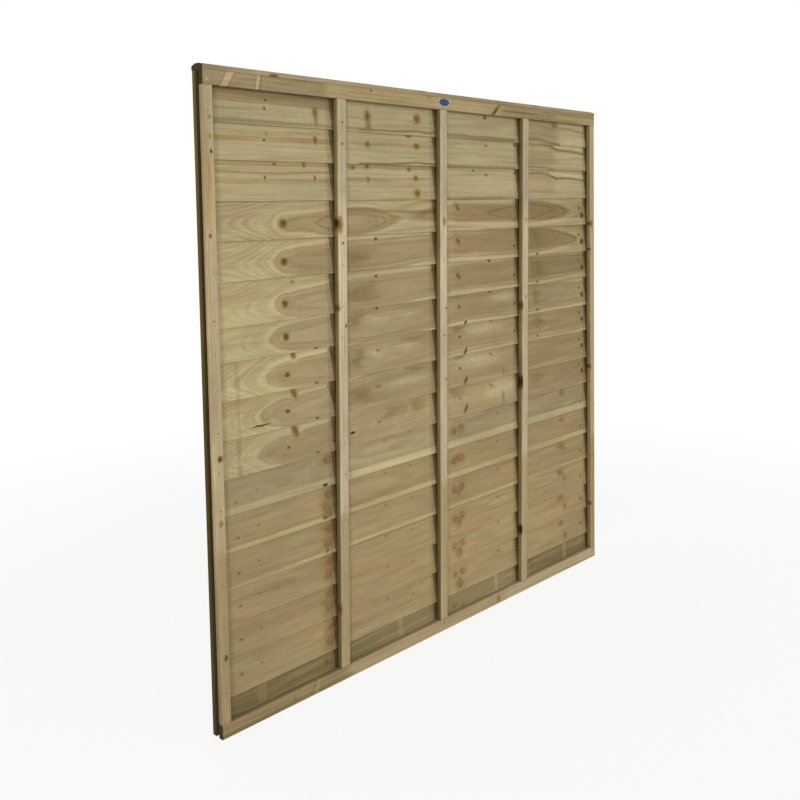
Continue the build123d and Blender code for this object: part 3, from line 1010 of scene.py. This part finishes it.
def pinTree():
    tree, wire, given = groupWith("pins", [
        ("Geometry", "Geometry"), ("Head Radius", "Float"), ("Head Height", "Float"),
        ("Stray", "Float"), ("Missing", "Float"), ("Seed", "Int"), ("Material", "Material")])
    seed = given["Seed"]
    left = wire.node("FunctionNodeRandomValue", {"data_type": "FLOAT"},
                     {"Min": 0.0, "Max": 1.0, "Seed": seed}, 1)
    gone = wire.node("FunctionNodeCompare", {"data_type": "FLOAT", "operation": "LESS_THAN"},
                     {0: left, 1: given["Missing"]})
    places = wire.node("GeometryNodeMeshToPoints", None, {"Mesh": given["Geometry"]})
    places = wire.node("GeometryNodeDeleteGeometry", {"domain": "POINT"},
                       {"Geometry": places, "Selection": gone})
    spread = wire.node("FunctionNodeRandomValue", {"data_type": "FLOAT_VECTOR"},
                       {"Min": (-1.0, 0.0, -1.0), "Max": (1.0, 0.0, 1.0), "Seed": seed}, 0)
    places = wire.node("GeometryNodeSetPosition", None,
                       {"Geometry": places, "Offset": spread.scaled(given["Stray"])})
    head = wire.node("GeometryNodeMeshUVSphere", None, {"Segments": 12, "Rings": 6, "Radius": 1.0})
    size = wire.joined(given["Head Radius"], given["Head Height"], given["Head Radius"])
    head = wire.node("GeometryNodeTransform", None, {"Geometry": head, "Rotation": (pi / 2, 0, 0)})
    pins = wire.node("GeometryNodeInstanceOnPoints", None,
                     {"Points": places, "Instance": head, "Scale": size})
    pins = wire.node("GeometryNodeRealizeInstances", None, {0: pins})
    pins = wire.node("GeometryNodeSetShadeSmooth", None, {"Geometry": pins})
    endWith(wire, pins, given["Material"])
    return tree


frontUprights = (
    "front_left_stile", "front_batten_1", "front_batten_2", "front_batten_3", "front_right_stile")


def pinPlaces():
    # over every lap, on the front of each upright
    points = []
    for name in frontUprights:
        low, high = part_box(name)
        for number in range(1, frameShape["slats"]):
            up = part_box(f"slat_{number:02}")[0].z + pinShape["aboveEdge"] / 1000
            across = leanAt(up * 1000) / 1000 if "batten" in name else 0.0
            points.append(((low.x + high.x) / 2 + across, low.y, up))
    mesh = bpy.data.meshes.new("pinPlaces")
    mesh.from_pydata(points, [], [])
    return mesh


pins = grown("batten_pins", pinTree(), {
    "Head Radius": pinShape["headRadius"] / 1000, "Head Height": pinShape["headHeight"] / 1000,
    "Stray": pinShape["stray"] / 1000, "Missing": pinShape["missing"], "Seed": pinShape["seed"],
    "Material": zincSkin("pin steel", pinLook)}, pinPlaces())
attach(pins, "root")
print("nails and pins finished")


# blank oval tag

tagShape = {
    "rings": (  # share of the radius, and mm out from the rail
        (1.0, 0.0), (1.0, 0.7), (0.975, 1.05), (0.93, 1.2), (0.89, 1.05), (0.87, 0.85),
        (0.6, 0.95), (0.3, 1.0)),
    "thickness": 1.2,
    "segments": 64,
    "field": paint(28, 38, 84),
    "rim": paint(176, 180, 186),
}


def tagSkin(centre, half):
    material, wire = newMaterial("tag_plastic")
    place = wire.node("ShaderNodeTexCoord", None, None, "Object")
    off = wire.vec("SUBTRACT", place, tuple(centre))
    far = wire.vec("LENGTH", wire.vec("MULTIPLY", off, (1 / half.x, 0, 1 / half.z)), out=1)
    speck = place.scaled(1000.0).noise((1.2, 1.2, 1.2), 3.0)
    scuff = place.scaled(1000.0).noise((14, 6, 6), 3.0)
    field = wire.mix(tagShape["field"], paint(44, 56, 104), scuff.fade(0.4, 0.7) * 0.5)
    rim = wire.mix(tagShape["rim"], paint(150, 152, 150), speck.fade(0.4, 0.7) * 0.5)
    colour = wire.mix(field, rim, far.fade(0.87, 0.89))
    surface(wire, colour, 0.32 + scuff * 0.2, speck, 0.00005)
    return material


def tagMesh(low, high):
    centre, half = (low + high) / 2, (high - low) / 2
    bm = bmesh.new()
    loops = []
    for part, proud in tagShape["rings"]:
        y = high.y - proud / tagShape["thickness"] * (high.y - low.y)
        loop = []
        for step in range(tagShape["segments"]):
            angle = 2 * pi * step / tagShape["segments"]
            spot = Matrix.Rotation(angle, 3, "Y") @ Vector((1, 0, 0))
            x, z = centre.x + spot.x * half.x * part, centre.z + spot.z * half.z * part
            loop.append(bm.verts.new((x, y, z)))
        loops.append(loop)
    for outer, inner in zip(loops, loops[1:]):
        for step in range(len(outer)):
            after = (step + 1) % len(outer)
            bm.faces.new((outer[step], outer[after], inner[after], inner[step]))
    bm.faces.new(loops[-1])
    bm.faces.new(reversed(loops[0]))
    bmesh.ops.recalc_face_normals(bm, faces=bm.faces)
    mesh = bpy.data.meshes.new("oval_tag_moulded")
    bm.to_mesh(mesh)
    bm.free()
    for face in mesh.polygons:
        face.use_smooth = len(face.vertices) == 4
    mesh.materials.append(tagSkin(centre, half))
    return mesh


tag = bpy.data.objects.new("oval_tag_moulded", tagMesh(*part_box("oval_tag")))
scene.collection.objects.link(tag)
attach(tag, "root")
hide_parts("oval_tag")
print("tag finished")


# floor and light

studio = {
    "floorSize": 60.0,
    "floorTone": paint(226, 225, 221),
    "floorGlow": (0.88, 1.0),  # of the white that the camera sees, by the panel and far off
    "glowFrom": (1.6, 3.6),
    "skyLevel": 0.6,
    "keyPlace": (-5.6, -9.0, 3.0),
    "keySize": 4.2,
    "keyPower": 560.0,
    "keyTone": (1.0, 0.985, 0.96),
    "keyTarget": (0.0, 0.0, 0.9),
}


def seenByCamera(wire):
    # 1 for the camera's rays, straight, glossy or let through, and 0 for the light that falls
    path = wire.node("ShaderNodeLightPath")
    seen = path
    for ray in ("Is Glossy Ray", "Is Transmission Ray"):
        seen = wire.math("MAXIMUM", seen, Wire(wire.tree, path.socket.node.outputs[ray]))
    return seen


def floorSkin():
    # matt, but mostly white to the camera, so that only a soft shadow stays
    material, wire = newMaterial("pale floor")
    far = wire.vec("LENGTH", wire.node("ShaderNodeTexCoord", None, None, "Object"), out=1)
    share = far.fade(*studio["glowFrom"], *studio["floorGlow"])
    matt = wire.node("ShaderNodeBsdfDiffuse", None, {"Color": studio["floorTone"]})
    glow = wire.node("ShaderNodeEmission", None, {"Color": (1, 1, 1, 1), "Strength": 1.0})
    both = wire.node("ShaderNodeMixShader", None, {0: seenByCamera(wire) * share, 1: matt, 2: glow})
    wire.node("ShaderNodeOutputMaterial", None, {"Surface": both})
    return material


half = studio["floorSize"] / 2
floorMesh = bpy.data.meshes.new("floor")
corners = [(-half, -half, 0), (half, -half, 0), (half, half, 0), (-half, half, 0)]
floorMesh.from_pydata(corners, [], [(0, 1, 2, 3)])
floorMesh.materials.append(floorSkin())
floor = bpy.data.objects.new("floor", floorMesh)
scene.collection.objects.link(floor)

world = bpy.data.worlds.new("studio")
world.use_nodes = True
world.node_tree.nodes.clear()
sky = Wire(world.node_tree)
level = studio["skyLevel"] + seenByCamera(sky) * (1 - studio["skyLevel"])
backdrop = sky.node("ShaderNodeBackground", None, {"Color": (1, 1, 1, 1), "Strength": level})
sky.node("ShaderNodeOutputWorld", None, {"Surface": backdrop})
scene.world = world

lampData = bpy.data.lights.new("key", "AREA")
lampData.size = studio["keySize"]
lampData.energy = studio["keyPower"]
lampData.color = studio["keyTone"]
lamp = bpy.data.objects.new("key", lampData)
lamp.location = studio["keyPlace"]
aim = Vector(studio["keyTarget"]) - Vector(studio["keyPlace"])
lamp.rotation_euler = aim.to_track_quat("-Z", "Y").to_euler()
scene.collection.objects.link(lamp)

scene.view_settings.view_transform = "Standard"
print("studio ready")
